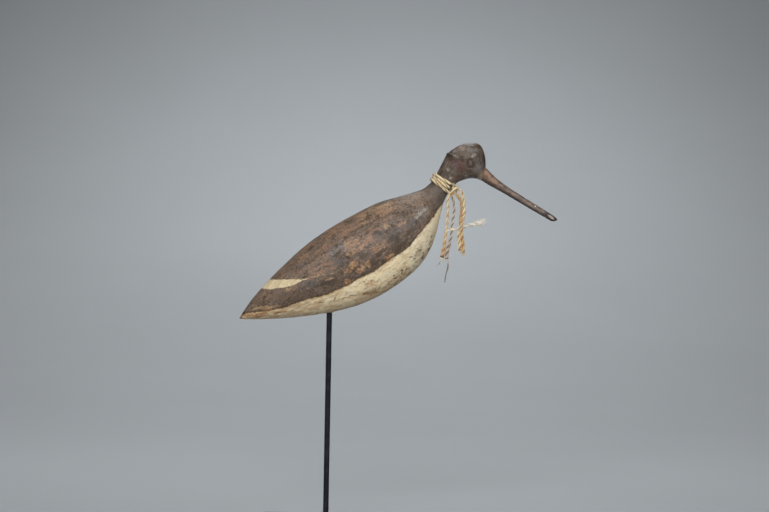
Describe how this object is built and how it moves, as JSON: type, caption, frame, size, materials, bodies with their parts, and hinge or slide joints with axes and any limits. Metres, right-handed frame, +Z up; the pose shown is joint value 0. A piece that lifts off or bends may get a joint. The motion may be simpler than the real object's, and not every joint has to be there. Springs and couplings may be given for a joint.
{
  "type": "shorebird decoy on a rod stand",
  "caption": "Carved and painted wooden shorebird with a long down-turned bill and twine tied round its neck, held up by a thin rod in a low foot.",
  "frame": {"origin": "on the rod's axis, on the surface that the foot stands on", "axes": "+X towards the bill, +Y to the bird's left, +Z up along the rod"},
  "size_m": [0.2852, 0.09, 0.3521],
  "materials": {
    "painted_wood": "old worn paint, dark umber above and cream below, rubbed through to bare orange wood",
    "bare_wood": "bare brown wood, worn smooth",
    "twine": "twisted natural straw-coloured fibre, fuzzy and frayed at the ends",
    "black_steel": "satin black paint on steel"
  },
  "bodies": {
    "root": {"decoy_body": "painted_wood", "bill": "bare_wood", "twine_collar": "twine", "twine_tail_left": "twine", "twine_tail_middle": "twine", "twine_tail_outer": "twine", "twine_tail_inner": "twine", "twine_cross_end": "twine", "stand_rod": "black_steel", "stand_base": "black_steel"}
  },
  "joints": []
}
